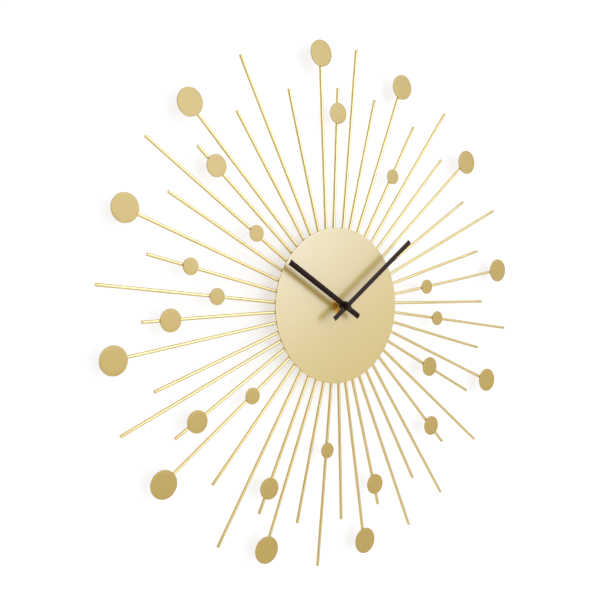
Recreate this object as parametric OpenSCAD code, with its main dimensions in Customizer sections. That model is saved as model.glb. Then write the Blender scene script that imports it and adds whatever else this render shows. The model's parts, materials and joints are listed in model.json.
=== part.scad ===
// Sunburst wall clock: a round face in front of forty-eight welded rods that carry
// small discs, with a battery quartz movement behind the face.
// +X is to the right and +Z is up as the clock hangs, and it faces -Y. The wall is
// the plane Y = 0. Parts are drawn lying on their backs, with height measured from
// the wall towards the room, and on_wall() stands them up.

/* [Sunburst] */
// Diameter over the long rods
overall_d = 500; // [420:5:640]
// How much shorter a short rod reaches than a long one
short_step = 41; // [20:1:60]
// Diameter of the rods
rod_d = 3; // [2:0.1:4]
// Number of rods, long and short in turn
rod_count = 48; // [36:12:60]
// Radius of the circle that the rods' inner ends stand on
rod_root_r = 46; // [43:0.5:52]
// How far the ring of rods is turned from upright, in degrees
ring_turn = 1.5; // [-3:0.1:3]

/* [Discs] */
// Diameter of the large discs, flush with the ends of the long rods
large_disc_d = 25; // [18:0.5:28]
// Diameter of the medium discs
medium_disc_d = 20; // [14:0.5:22]
// Diameter of the small discs
small_disc_d = 15; // [10:0.5:17]
// How far the end of a rod stays inside the rim of its large disc
rod_setback = 6; // [0:0.5:10]
// Sheet thickness of the discs
disc_t = 1; // [0.6:0.1:2]

/* [Face] */
// Diameter of the face
face_d = 150; // [140:1:180]
// Sheet thickness of the face
face_t = 1; // [0.6:0.1:1.4]
// Inner radius of the flat ring welded behind the rods
weld_ring_inner_r = 50; // [48:0.5:55]
// Outer radius of the flat ring
weld_ring_outer_r = 62; // [60:0.5:66]
// Thickness of the flat ring
weld_ring_t = 1.5; // [1:0.1:2]

/* [Hands] */
// Hour hand, axis to tip
hour_hand_length = 78; // [50:1:90]
// Hour hand, width
hour_hand_w = 5.5; // [4:0.1:7]
// Minute hand, axis to tip
minute_hand_length = 104; // [80:1:115]
// Minute hand, width
minute_hand_w = 4.7; // [3.8:0.1:6]
// Length of both tails behind the axis
hand_tail = 20; // [10:1:26]
// Sheet thickness of the hands
hand_t = 0.4; // [0.3:0.05:0.6]
// Height of the fold along the middle of the hands
hand_rise = 0.9; // [0.4:0.05:1.2]
// Where the hour hand points, in degrees clockwise from twelve
hour_hand_angle = 302; // [0:1:359]
// Where the minute hand points, in degrees clockwise from twelve
minute_hand_angle = 52.7; // [0:0.1:359]

/* [Movement] */
// Side of the square movement case
case_w = 56; // [55:0.5:60]
// Depth of the movement case, front to back
case_depth = 16; // [16:0.1:18]
// Corner radius of the movement case
case_r = 3; // [2:0.5:3.5]
// Thickness of the case's side walls
case_wall = 1.5; // [1.2:0.1:1.5]
// Thickness of the case's front wall and of its back cover
case_skin = 1.2; // [1:0.1:1.2]
// Diameter of the threaded bush that carries the face
bush_d = 8; // [7.5:0.1:8.5]
// Length of the bush in front of the case
bush_length = 6; // [5.4:0.1:7]
// Thickness of the rubber washer
rubber_t = 0.8; // [0.5:0.1:1.2]
// Diameter of the battery
battery_d = 14.2; // [13.7:0.1:14.4]
// Length of the battery with its nub
battery_length = 50.5; // [49.5:0.1:51]
// Diameter of the time-setting knob
knob_d = 15; // [11:0.5:15]

/* [Wheel train] */
// Thickness of every toothed wheel
wheel_t = 1; // [0.8:0.05:1.05]
// Distance from the hands' axis to the motion wheel's axis
motion_distance = 12; // [11.9:0.05:12.2]
// Distance from the hands' axis to the third wheel's axis
third_distance = 10.2; // [10.1:0.05:10.4]
// Distance from the hands' axis to the intermediate wheel's axis
intermediate_distance = 10.5; // [10.4:0.05:10.7]
// Distance from the intermediate wheel's axis to the rotor's axis
rotor_distance = 7.9; // [7.8:0.05:8.1]
// Diameter of the rotor magnet
magnet_d = 6; // [5:0.1:6]

/* [Hanger] */
// Width of the wall hanger
hanger_w = 18; // [14:1:22]
// Sheet thickness of the hanger
hanger_t = 1.2; // [1:0.1:1.6]
// Diameter of the keyhole's round entry
keyhole_d = 9; // [7:0.5:10]
// Width of the keyhole's slot
keyhole_slot_w = 4.5; // [3.5:0.5:5]
// Length of the slot above the entry's centre
keyhole_slot_length = 7; // [6:0.5:8]

/* [Hidden] */
$fn = 64;
// Running clearance of arbors, tubes and pivots, on the radius
fit = 0.04;
// Gap between neighbouring pieces that only have to miss each other
gap = 0.3;
// Small step by which a cut passes through a surface
cut = 0.5;

// Rods that were welded out of true: rod number, counted anticlockwise from three
// o'clock, and how far its weld and its tip are out anticlockwise, in degrees
strays = [[0, 0, -1.5], [1, -1.5, -0.5], [2, -0.5, -1], [3, -0.5, 0], [4, -1, 0],
    [5, -0.5, 1], [6, 0.5, 0], [7, 0.5, -0.5], [8, 1, -1], [9, 1.5, 0], [10, 2, 0],
    [11, 0.5, 0.5], [12, 3, -2], [13, 3.5, -4], [14, 2, -0.5], [15, 1.5, 2.5],
    [16, 1.5, 2], [17, 1, 4], [18, 1, 1.5], [19, 1, 1], [20, 2, 0], [21, 2, 0.5],
    [22, 2.5, 0.5], [23, 3, 1], [24, 2.5, 1], [25, 2.5, 0.5], [26, 1.5, 2.5],
    [27, 1, 0], [29, 1, -1.5], [30, -0.5, 1], [31, -1, 3], [32, 0, 2.5], [33, 1, 0],
    [34, 1, 0], [35, 0.5, 0.5], [37, -1, -0.5], [38, -1.5, -1.5], [39, -2, -1],
    [40, -1.5, -2], [41, -0.5, -3.5], [42, 0, -2], [43, -1, -1.5], [44, -1, 1],
    [45, 0, -1], [46, 0, -0.5], [47, 0, -1]];
// Rods that end in a large disc, and how far further out than the other rays they reach
large_disc_places = [[1, -0.5], [5, -0.5], [9, -1.5], [13, 2], [17, 2.5], [21, 1.5],
    [25, 0.5], [29, 2], [33, -0.5], [37, 0], [45, -3.5]];
// Medium and small discs: rod number, and radius of the disc's centre
medium_disc_places = [[12, 184.5], [18, 185], [24, 183], [28, 184.5],
    [32, 184.5], [38, 186.5], [42, 182.5], [44, 142.5]];
small_disc_places = [[1, 122.5], [8, 147.5], [19, 116.5], [22, 167.5], [23, 137.5],
    [29, 127.5], [35, 139.5], [47, 138]];

// Heights above the wall, from the back of the case to the tip of the cap nut
rod_r = rod_d / 2;
plate_t = 0.8;
face_back = case_depth + rubber_t;
face_front = face_back + face_t;
rod_axis = face_back - rod_r;
weld_ring_front = rod_axis - rod_r;
weld_ring_back = weld_ring_front - weld_ring_t;
front_wall = case_depth - case_skin;
hour_level = front_wall - gap - wheel_t;
motion_level = hour_level - gap - wheel_t;
middle_plate_back = motion_level - gap - plate_t;
centre_level = middle_plate_back - gap - wheel_t;
third_level = centre_level - gap - wheel_t;
seconds_level = third_level - gap - wheel_t;
intermediate_level = seconds_level - gap - wheel_t;
bridge_front = intermediate_level - gap;
bridge_back = bridge_front - plate_t;

// Places of the arbors, seen from the room
centre_at = [0, 0];
motion_at = [-motion_distance, 0];
third_angle = 20;
third_at = third_distance * [cos(third_angle), sin(third_angle)];
intermediate_angle = 110;
intermediate_at = intermediate_distance * [cos(intermediate_angle), sin(intermediate_angle)];
rotor_angle = 160;
rotor_at = intermediate_at + rotor_distance * [cos(rotor_angle), sin(rotor_angle)];
arbor_r = 0.5;
knob_arbor_r = 1.25;

// Tooth counts: two-second rotor to seconds, minutes and hours
rotor_teeth = 12;
intermediate_teeth = 60;
intermediate_leaves = 10;
seconds_teeth = 60;
seconds_leaves = 8;
third_teeth = 60;
third_leaves = 8;
centre_teeth = 64;
cannon_leaves = 12;
motion_teeth = 36;
motion_leaves = 10;
hour_teeth = 40;

// Tubes of the hands, one inside the other
minute_tube_r = 1.7;
hour_tube_r = 2.5;
cannon_body_r = 2.2;
hub_r = 4.6;
bush_flange_r = 5.5;

// Heights of the hands
washer_t = 0.5;
nut_t = 2.2;
nut_across = 12;
hour_hand_back = face_front + 9.7;
minute_hand_back = hour_hand_back + 2.6;
hub_t = 0.6;
cap_base = minute_hand_back + hub_t;
cap_r = 3.6;
cap_skirt = 1;
cap_dome = 2.8;
cap_top = cap_base + cap_skirt + cap_dome;
minute_tube_top = cap_base + 1.8;
hour_tube_top = hour_hand_back + 1.1;

// Inside of the case
inner_half = case_w / 2 - case_wall;
bay_clear = 0.2;
battery_height = battery_d / 2 + gap;
battery_up = -inner_half + bay_clear + battery_d / 2;
partition_t = 1.1;
partition_top = battery_up + battery_d / 2 + bay_clear + partition_t;
contact_t = 0.4;
contact_w = 10;
contact_h = 8;
nub_length = 1;
nub_d = 5.5;
battery_tip = inner_half - contact_t;
well_r = knob_d / 2 + 0.5;
well_wall = 1;
well_floor = bridge_back - gap - well_wall;
post_places = [[-23.5, -7.5], [-23.5, 3.5], [22.5, -7.5], [22.5, 11]];
post_r = 1.5;
post_pin_r = 0.9;
board_place = [2.5, 14.5];
board_size = [22.5, 11];
board_t = 0.8;
board_height = seconds_level + 0.4;
board_pins = [[6, 22.5], [21.5, 22.5]];
coil_up = 21;
stator_back = third_level + 0.3;
core_height = stator_back - 0.4;
coil_x = [-20.8, -7.6];
stator_x = [-24.8, -4.3];
stator_t = 0.8;
leg_w = 3;
stator_pins = [[stator_x[0] + leg_w / 2, 18], [stator_x[1] - leg_w / 2, 18]];
stator_post_r = 1.2;
stator_pin_r = 0.7;
flange_r = 4.4;
winding_r = 3.8;

// ---- functions -----------------------------------------------------------------

// Even angle of a rod, in degrees from three o'clock, and how far its weld (1) or its
// tip (2) is out
function rod_angle(k) = ring_turn + 360 * k / rod_count;
function stray(k, end) = let (hit = [for (s = strays) if (s[0] == k) s[end]])
    len(hit) > 0 ? hit[0] : 0;
function polar(r, a) = [r * cos(a), r * sin(a)];
// A rod runs straight from its weld at the outer edge of the flat ring to its tip
function weld_point(k) = polar(weld_ring_outer_r, rod_angle(k) + stray(k, 1));
function rod_heading(k) = let (tip = polar(overall_d / 2, rod_angle(k) + stray(k, 2)),
    way = tip - weld_point(k)) atan2(way[1], way[0]);
// How far along a rod from its weld a circle about the hands' axis is met
function reach(k, r) = let (w = weld_point(k), h = rod_heading(k),
    along = w * [cos(h), sin(h)]) sqrt(along * along - w * w + r * r) - along;
function on_rod(k, r) = weld_point(k) + polar(reach(k, r), rod_heading(k));
// Where a ray ends: the short ones in between step back, and some are out with their discs.
// A rod that ends in a large disc stops short of the disc's rim
function further(k) = let (hit = [for (p = large_disc_places) if (p[0] == k) p[1]])
    len(hit) > 0 ? hit[0] : 0;
function ray_reach(k) = overall_d / 2 + further(k) - (k % 2 == 0 ? short_step : 0);
function under_disc(k) = len([for (p = large_disc_places) if (p[0] == k) k]) > 0;
function rod_reach(k) = ray_reach(k) - (under_disc(k) ? rod_setback : 0);

// Module of a pair of wheels from the distance between their axes
function pair_module(distance, teeth_a, teeth_b) = 2 * distance / (teeth_a + teeth_b);
// Turn of a wheel that puts its gap opposite the tooth of the wheel that drives it
function mesh_turn(driver_turn, driver_teeth, heading, teeth) =
    heading + 180 - (180 - (heading - driver_turn) * driver_teeth) / teeth;
// Outline of a toothed wheel, six points a tooth
tooth_half = [[-1.2, 84], [0, 70], [0.8, 34]];
function tooth_side(teeth, m, side) = [for (p = side > 0 ? [tooth_half[2], tooth_half[1],
    tooth_half[0]] : tooth_half) [teeth * m / 2 + p[0] * m, side * p[1] / teeth]];
function gear_outline(teeth, m, turn) = [for (k = [0 : teeth - 1]) for (side = [-1, 1])
    for (p = tooth_side(teeth, m, side)) polar(p[0], turn + 360 * k / teeth + p[1])];
// Corner points of a rectangle with round corners
function round_box(w, h, r) = [for (c = [[1, 1, 0], [-1, 1, 90], [-1, -1, 180],
    [1, -1, 270]]) for (s = [0 : 6]) [c[0] * (w / 2 - r), c[1] * (h / 2 - r)]
    + polar(r, c[2] + 15 * s)];

// Turns that put the trains in mesh at rest
motion_turn = mesh_turn(0, cannon_leaves, 180, motion_teeth);
hour_turn = mesh_turn(motion_turn, motion_leaves, 0, hour_teeth);
third_turn = mesh_turn(0, centre_teeth, third_angle, third_leaves);
seconds_turn = mesh_turn(third_turn, third_teeth, third_angle + 180, seconds_leaves);
intermediate_turn = mesh_turn(seconds_turn, seconds_teeth, intermediate_angle,
    intermediate_leaves);
rotor_turn = mesh_turn(intermediate_turn, intermediate_teeth, rotor_angle, rotor_teeth);

// ---- shared shapes -------------------------------------------------------------

// Stands a piece drawn on its back up against the wall
module on_wall() rotate([90, 0, 0]) children();

// Round bar from one height to another
module post(place, r, from, to) translate([place[0], place[1], from]) cylinder(r = r, h = to - from);

// Ring or washer
module washer(outer_r, inner_r, from, to) difference() {
    post(centre_at, outer_r, from, to);
    post(centre_at, inner_r, from - cut, to + cut);
}

module gear(teeth, m, turn, from, to) translate([0, 0, from])
    linear_extrude(height = to - from) polygon(gear_outline(teeth, m, turn));

module rod(k) let (start = on_rod(k, rod_root_r))
    translate([start[0], start[1], rod_axis]) rotate([0, 90, rod_heading(k)])
        cylinder(d = rod_d, h = reach(k, rod_reach(k)) - reach(k, rod_root_r), $fn = 24);

module rod_disc(k, r, d) translate([on_rod(k, r)[0], on_rod(k, r)[1], face_back])
    cylinder(d = d, h = disc_t);

// Folded sheet bar of a hand, pointing along +X, with its back edges at height zero
module folded_bar(length, w) translate([-hand_tail, 0, 0]) rotate([90, 0, 90])
    linear_extrude(height = length + hand_tail) polygon([[-w / 2, 0], [0, hand_rise],
        [w / 2, 0], [w / 2, hand_t], [0, hand_rise + hand_t], [-w / 2, hand_t]]);

// ---- sunburst ------------------------------------------------------------------

module face_plate() color("khaki") on_wall() washer(face_d / 2, bush_d / 2 + 0.1, face_back, face_front);

module long_rods() color("goldenrod") on_wall() for (k = [1 : 2 : rod_count - 1]) rod(k);

module short_rods() color("goldenrod") on_wall() for (k = [0 : 2 : rod_count - 2]) rod(k);

module large_discs() color("gold") on_wall()
    for (p = large_disc_places) rod_disc(p[0], ray_reach(p[0]) - large_disc_d / 2, large_disc_d);

module medium_discs() color("gold") on_wall()
    for (p = medium_disc_places) rod_disc(p[0], p[1], medium_disc_d);

module small_discs() color("gold") on_wall()
    for (p = small_disc_places) rod_disc(p[0], p[1], small_disc_d);

module weld_ring() color("darkgoldenrod") on_wall()
    washer(weld_ring_outer_r, weld_ring_inner_r, weld_ring_back, weld_ring_front);

// Bent strap: a foot welded to the ring, a web back to the wall and a keyhole tab
hanger_bottom = weld_ring_inner_r + 2;
keyhole_up = hanger_bottom + hanger_t + keyhole_d / 2 + 0.6;
module wall_hanger() color("darkgoldenrod") on_wall() difference() {
    union() {
        translate([-hanger_w / 2, hanger_bottom, 0]) cube([hanger_w, hanger_t, weld_ring_back]);
        translate([-hanger_w / 2, hanger_bottom, weld_ring_back - hanger_t])
            cube([hanger_w, weld_ring_outer_r - 2 - hanger_bottom, hanger_t]);
        translate([-hanger_w / 2, hanger_bottom, 0])
            cube([hanger_w, keyhole_up + keyhole_slot_length + 4 - hanger_bottom, hanger_t]);
    }
    post([0, keyhole_up], keyhole_d / 2, -cut, hanger_t + cut);
    post([0, keyhole_up + keyhole_slot_length - keyhole_slot_w / 2], keyhole_slot_w / 2,
        -cut, hanger_t + cut);
    translate([-keyhole_slot_w / 2, keyhole_up, -cut])
        cube([keyhole_slot_w, keyhole_slot_length - keyhole_slot_w / 2, hanger_t + 2 * cut]);
}

// ---- movement case -------------------------------------------------------------

module case_outline(inset) polygon(round_box(case_w - 2 * inset, case_w - 2 * inset, case_r - inset));

module case_front() color("dimgray") on_wall() difference() {
    union() {
        difference() {
            translate([0, 0, case_skin]) linear_extrude(height = case_depth - case_skin)
                case_outline(0);
            translate([0, 0, case_skin - cut]) linear_extrude(height = front_wall - case_skin + cut)
                case_outline(case_wall);
        }
        translate([-inner_half - cut, partition_top - partition_t, case_skin + gap])
            cube([2 * inner_half + 2 * cut, partition_t, front_wall - case_skin]);
        for (p = post_places) {
            post(p, post_r + 0.8, middle_plate_back + plate_t, front_wall + cut);
            post(p, post_r, bridge_front, front_wall + cut);
            post(p, post_pin_r, bridge_back, front_wall + cut);
        }
        for (p = board_pins) {
            post(p, post_r, board_height + board_t, front_wall + cut);
            post(p, post_pin_r, board_height, front_wall + cut);
        }
        for (p = stator_pins) {
            post(p, stator_post_r, stator_back + stator_t, front_wall + cut);
            post(p, stator_pin_r, stator_back, front_wall + cut);
        }
    }
    post(centre_at, bush_flange_r, front_wall - cut, case_depth + cut);
    post(motion_at, arbor_r + fit, front_wall - cut, case_depth - 0.3);
}

// Cover with the battery's window, the well of the setting knob and snap ribs
rib_t = 1;
rib_reach = bridge_back - case_skin - 4 * gap;
rib_length = 16;
module case_back() color("dimgray") on_wall() difference() {
    union() {
        linear_extrude(height = case_skin) case_outline(0);
        post(motion_at, well_r + well_wall, 0, well_floor + well_wall);
        for (a = [0, 90, 180]) rotate(a) translate([inner_half - gap / 2 - rib_t, -rib_length / 2, 0])
            cube([rib_t, rib_length, case_skin + rib_reach]);
    }
    post(motion_at, well_r, -cut, well_floor);
    post(motion_at, knob_arbor_r + fit, -cut, well_floor + well_wall + cut);
    translate([-inner_half, -inner_half, -cut])
        cube([2 * inner_half, battery_d + 2 * bay_clear, case_skin + 2 * cut]);
}

module threaded_bush() color("goldenrod") on_wall() difference() {
    union() {
        post(centre_at, bush_flange_r, front_wall, case_depth);
        post(centre_at, bush_d / 2, front_wall, case_depth + bush_length);
    }
    post(centre_at, hour_tube_r + fit, front_wall - cut, case_depth + bush_length + cut);
}

module rubber_washer() color("black") on_wall() washer(10, bush_d / 2 + 0.1, case_depth, face_back);

module brass_washer() color("gold") on_wall()
    washer(7.5, bush_d / 2 + 0.1, face_front, face_front + washer_t);

module fixing_nut() color("gold") on_wall() difference() {
    translate([0, 0, face_front + washer_t])
        cylinder(d = nut_across / cos(30), h = nut_t, $fn = 6);
    post(centre_at, bush_d / 2 + 0.02, face_front, face_front + washer_t + nut_t + cut);
}

// ---- movement plates and circuit -----------------------------------------------

// Plate that fits over the case's posts, with a hole at each arbor
plate_left = -25.5;
plate_right = 25.3;
plate_top = 13.8;
module train_plate(back, hole_r, centre_hole_r) difference() {
    translate([plate_left, partition_top + gap, back])
        cube([plate_right - plate_left, plate_top - partition_top - gap, plate_t]);
    for (p = post_places) post(p, hole_r, back - cut, back + plate_t + cut);
    for (p = [third_at, intermediate_at]) post(p, arbor_r + fit, back - cut, back + plate_t + cut);
    post(rotor_at, arbor_r + fit, back - cut, back + plate_t + cut);
    post(motion_at, knob_arbor_r + fit, back - cut, back + plate_t + cut);
    post(centre_at, centre_hole_r, back - cut, back + plate_t + cut);
}

module middle_plate() color("white") on_wall()
    train_plate(middle_plate_back, post_r + fit, cannon_body_r + 0.1);

module rear_bridge() color("white") on_wall() train_plate(bridge_back, post_pin_r + fit, arbor_r + fit);

module circuit_board() color("darkgreen") on_wall() difference() {
    translate([board_place[0], board_place[1], board_height])
        cube([board_size[0], board_size[1], board_t]);
    for (p = board_pins) post(p, post_pin_r + fit, board_height - cut, board_height + board_t + cut);
}

module clock_chip() color("black") on_wall()
    post([9, 18], 2.4, board_height + board_t, board_height + board_t + 0.9);

// Watch crystal: a can lying on the board
crystal_r = 1;
module quartz_crystal() color("silver") on_wall()
    translate([13.5, 18, board_height + board_t + crystal_r]) rotate([0, 90, 0])
        cylinder(r = crystal_r, h = 6);

// Stator: a bar with the rotor's hole, and two legs up to the coil's core
stator_bar = [7.6, 16.4];
module stator() color("lightsteelblue") on_wall() difference() {
    union() {
        translate([stator_x[0], stator_bar[0], stator_back])
            cube([rotor_at[0] + 5 - stator_x[0], stator_bar[1] - stator_bar[0], stator_t]);
        translate([stator_x[0], stator_bar[0], stator_back])
            cube([leg_w, coil_up + 2 - stator_bar[0], stator_t]);
        translate([stator_x[1] - leg_w, stator_bar[1] - 4, stator_back])
            cube([leg_w, coil_up + 2 - stator_bar[1] + 4, stator_t]);
    }
    post(rotor_at, magnet_d / 2 + 0.6, stator_back - cut, stator_back + stator_t + cut);
    for (p = stator_pins) post(p, stator_pin_r + fit, stator_back - cut, stator_back + stator_t + cut);
}

core_t = 1;
core_h = 3;
module coil_core() color("lightsteelblue") on_wall()
    translate([stator_x[0], coil_up - core_h / 2, stator_back - core_t])
        cube([stator_x[1] - stator_x[0], core_h, core_t]);

coil_length = coil_x[1] - coil_x[0];
bobbin_t = 0.8;
coil_height = stator_back - core_t / 2;
module coil_bobbin() color("white") on_wall() translate([coil_x[0], coil_up, coil_height]) difference() {
    rotate([0, 90, 0]) union() {
        cylinder(r = 2.2, h = coil_length);
        cylinder(r = flange_r, h = bobbin_t);
        translate([0, 0, coil_length - bobbin_t]) cylinder(r = flange_r, h = bobbin_t);
    }
    translate([-cut, -core_h / 2 - 0.02, -core_t / 2 - 0.02])
        cube([coil_length + 2 * cut, core_h + 0.04, core_t + 0.04]);
}

module coil_winding() color("peru") on_wall() translate([coil_x[0] + bobbin_t, coil_up, coil_height])
    rotate([0, 90, 0]) difference() {
        cylinder(r = winding_r, h = coil_length - 2 * bobbin_t);
        translate([0, 0, -cut]) cylinder(r = 2.2, h = coil_length + cut);
    }

// ---- battery -------------------------------------------------------------------

can_length = battery_length - nub_length;
module battery_cell() color("steelblue") on_wall()
    translate([battery_tip - battery_length, battery_up, battery_height]) rotate([0, 90, 0])
        cylinder(d = battery_d, h = can_length);

module battery_positive_cap() color("silver") on_wall()
    translate([battery_tip - nub_length, battery_up, battery_height]) rotate([0, 90, 0])
        cylinder(d = nub_d, h = nub_length);

module contact_positive() color("silver") on_wall()
    translate([inner_half - contact_t, battery_up - contact_w / 2, battery_height - contact_h / 2])
        cube([contact_t, contact_w, contact_h]);

// Bent leaf that presses on the flat end of the battery
leaf_reach = 2 * inner_half - contact_t - battery_length;
module contact_negative() color("silver") on_wall()
    translate([-inner_half, battery_up, battery_height - contact_h / 2])
        linear_extrude(height = contact_h) difference() {
            polygon([[0, -contact_w / 2], [leaf_reach, 0], [0, contact_w / 2]]);
            polygon([[-cut, -contact_w / 2], [leaf_reach - contact_t, 0], [-cut, contact_w / 2]]);
        }

// ---- going train ---------------------------------------------------------------

intermediate_module = pair_module(rotor_distance, rotor_teeth, intermediate_teeth);
seconds_module = pair_module(intermediate_distance, intermediate_leaves, seconds_teeth);
third_module = pair_module(third_distance, seconds_leaves, third_teeth);
centre_module = pair_module(third_distance, third_leaves, centre_teeth);
motion_module = pair_module(motion_distance, cannon_leaves, motion_teeth);
hour_module = pair_module(motion_distance, motion_leaves, hour_teeth);

module at(place) translate([place[0], place[1], 0]) children();

magnet_back = seconds_level;
magnet_t = 3;
module rotor_magnet() color("gray") on_wall() at(rotor_at) difference() {
    post(centre_at, magnet_d / 2, magnet_back, magnet_back + magnet_t);
    post(centre_at, arbor_r, magnet_back - cut, magnet_back + magnet_t + cut);
}

module rotor_pinion() color("white") on_wall() at(rotor_at) {
    gear(rotor_teeth, intermediate_module, rotor_turn, intermediate_level - 0.1, magnet_back);
    post(centre_at, arbor_r, bridge_back, middle_plate_back + plate_t);
}

module intermediate_wheel() color("orange") on_wall() at(intermediate_at) {
    gear(intermediate_teeth, intermediate_module, intermediate_turn, intermediate_level,
        intermediate_level + wheel_t);
    gear(intermediate_leaves, seconds_module, intermediate_turn,
        intermediate_level + wheel_t - 0.1, seconds_level + wheel_t + 0.1);
    post(centre_at, arbor_r, bridge_back, middle_plate_back + plate_t);
}

module seconds_wheel() color("white") on_wall() {
    gear(seconds_teeth, seconds_module, seconds_turn, seconds_level, seconds_level + wheel_t);
    gear(seconds_leaves, third_module, seconds_turn, seconds_level + wheel_t - 0.1,
        third_level + wheel_t);
    post(centre_at, arbor_r, bridge_back, minute_tube_top - 1);
}

module third_wheel() color("orange") on_wall() at(third_at) {
    gear(third_teeth, third_module, third_turn, third_level, third_level + wheel_t);
    gear(third_leaves, centre_module, third_turn, third_level + wheel_t - 0.1,
        centre_level + wheel_t + 0.1);
    post(centre_at, arbor_r, bridge_back, middle_plate_back + plate_t);
}

// Driven by the third wheel, and slips on the cannon pinion when the hands are set
module centre_wheel() color("white") on_wall() difference() {
    gear(centre_teeth, centre_module, 0, centre_level, centre_level + wheel_t);
    post(centre_at, cannon_body_r + fit, centre_level - cut, centre_level + wheel_t + cut);
}

// ---- hands' train --------------------------------------------------------------

cannon_back = third_level + wheel_t + 0.1;
module cannon_pinion() color("wheat") on_wall() difference() {
    union() {
        post(centre_at, cannon_body_r, cannon_back, motion_level + wheel_t);
        gear(cannon_leaves, motion_module, 0, motion_level, motion_level + wheel_t);
        post(centre_at, minute_tube_r, motion_level, minute_tube_top);
    }
    post(centre_at, arbor_r + fit, cannon_back - cut, minute_tube_top + cut);
}

// Thin spring washer that presses the centre wheel against the cannon pinion's flange
module clutch_washer() color("silver") on_wall()
    washer(3.6, cannon_body_r, centre_level + wheel_t + 0.05, centre_level + wheel_t + 0.2);

module motion_wheel() color("orange") on_wall() at(motion_at) {
    gear(motion_teeth, motion_module, motion_turn, motion_level, motion_level + wheel_t);
    gear(motion_leaves, hour_module, motion_turn, motion_level + wheel_t - 0.1,
        hour_level + wheel_t);
    post(centre_at, arbor_r, hour_level, case_depth - 0.4);
    post(centre_at, knob_arbor_r, well_floor - 0.3, motion_level + 0.1);
}

knob_grips = 24;
knob_back = 0.4;
module setting_knob() color("black") on_wall() at(motion_at) translate([0, 0, knob_back])
    linear_extrude(height = well_floor - 0.3 - knob_back)
        polygon([for (k = [0 : 2 * knob_grips - 1])
            polar(knob_d / 2 - (k % 2) * 0.5, 180 * k / knob_grips)]);

module hour_wheel() color("white") on_wall() difference() {
    union() {
        gear(hour_teeth, hour_module, hour_turn, hour_level, hour_level + wheel_t);
        post(centre_at, hour_tube_r, hour_level, hour_tube_top);
    }
    post(centre_at, minute_tube_r + fit, hour_level - cut, hour_tube_top + cut);
}

bush_neck_r = 3.3;
module hour_hand_bush() color("gold") on_wall() difference() {
    union() {
        post(centre_at, 4, hour_hand_back - 1, hour_hand_back);
        post(centre_at, bush_neck_r, hour_hand_back - 1, hour_tube_top);
    }
    post(centre_at, hour_tube_r + 0.01, hour_hand_back - 2, hour_tube_top + cut);
}

module hour_hand() color("black") on_wall() translate([0, 0, hour_hand_back])
    rotate(90 - hour_hand_angle) difference() {
        union() {
            folded_bar(hour_hand_length, hour_hand_w);
            cylinder(r = hub_r, h = hub_t);
        }
        translate([0, 0, hub_t]) cylinder(r = hub_r + 0.1, h = hand_rise + hand_t);
        translate([0, 0, -cut]) cylinder(r = bush_neck_r + 0.01, h = hub_t + 2 * cut);
    }

module minute_hand() color("black") on_wall() translate([0, 0, minute_hand_back])
    rotate(90 - minute_hand_angle) difference() {
        union() {
            folded_bar(minute_hand_length, minute_hand_w);
            cylinder(r = cap_r - 0.2, h = hub_t);
        }
        translate([0, 0, hub_t]) cylinder(r = cap_r + 0.1, h = hand_rise + hand_t);
        translate([0, 0, -cut]) cylinder(r = minute_tube_r + 0.01, h = hub_t + 2 * cut);
    }

// Domed nut that clamps the minute hand
module cap_nut() color("black") on_wall() translate([0, 0, cap_base]) difference() {
    rotate_extrude() polygon(concat([[0, 0], [cap_r, 0], [cap_r, cap_skirt]],
        [for (a = [10 : 10 : 80]) [cap_r * cos(a), cap_skirt + cap_dome * sin(a)]],
        [[0, cap_skirt + cap_dome]]));
    translate([0, 0, -cut]) cylinder(r = minute_tube_r + 0.01, h = 1.9 + cut);
}

// ---- assembly ------------------------------------------------------------------

face_plate();
long_rods();
short_rods();
large_discs();
medium_discs();
small_discs();
weld_ring();
wall_hanger();
case_front();
case_back();
threaded_bush();
rubber_washer();
brass_washer();
fixing_nut();
middle_plate();
rear_bridge();
circuit_board();
clock_chip();
quartz_crystal();
stator();
coil_core();
coil_bobbin();
coil_winding();
battery_cell();
battery_positive_cap();
contact_positive();
contact_negative();
rotor_magnet();
rotor_pinion();
intermediate_wheel();
seconds_wheel();
third_wheel();
centre_wheel();
clutch_washer();
cannon_pinion();
motion_wheel();
setting_knob();
hour_wheel();
hour_hand_bush();
hour_hand();
minute_hand();
cap_nut();
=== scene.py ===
"""Sunburst wall clock: the looks of its lacquered rays, discs, face and hands, and of the
quartz movement behind them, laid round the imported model."""

import json
import math

import bmesh
import bpy
import numpy as np
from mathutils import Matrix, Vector


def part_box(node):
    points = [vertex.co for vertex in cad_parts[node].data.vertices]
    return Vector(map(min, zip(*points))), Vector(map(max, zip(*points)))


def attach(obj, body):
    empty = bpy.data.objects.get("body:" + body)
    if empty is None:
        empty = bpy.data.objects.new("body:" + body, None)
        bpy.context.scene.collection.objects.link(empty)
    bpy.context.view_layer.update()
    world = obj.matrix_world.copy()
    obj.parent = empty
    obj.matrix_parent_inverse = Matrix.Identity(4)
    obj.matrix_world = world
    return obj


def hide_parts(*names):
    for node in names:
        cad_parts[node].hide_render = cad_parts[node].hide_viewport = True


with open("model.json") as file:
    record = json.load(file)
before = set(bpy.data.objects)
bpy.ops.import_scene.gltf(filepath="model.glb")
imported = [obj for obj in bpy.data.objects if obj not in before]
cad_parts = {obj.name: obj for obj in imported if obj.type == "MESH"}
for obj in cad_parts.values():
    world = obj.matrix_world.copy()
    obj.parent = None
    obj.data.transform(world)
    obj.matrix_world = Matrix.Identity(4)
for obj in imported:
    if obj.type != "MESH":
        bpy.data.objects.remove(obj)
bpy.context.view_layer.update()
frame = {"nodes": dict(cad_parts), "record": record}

MM = 0.001
TURN = 2 * math.pi
chance = np.random.default_rng(24)


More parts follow.
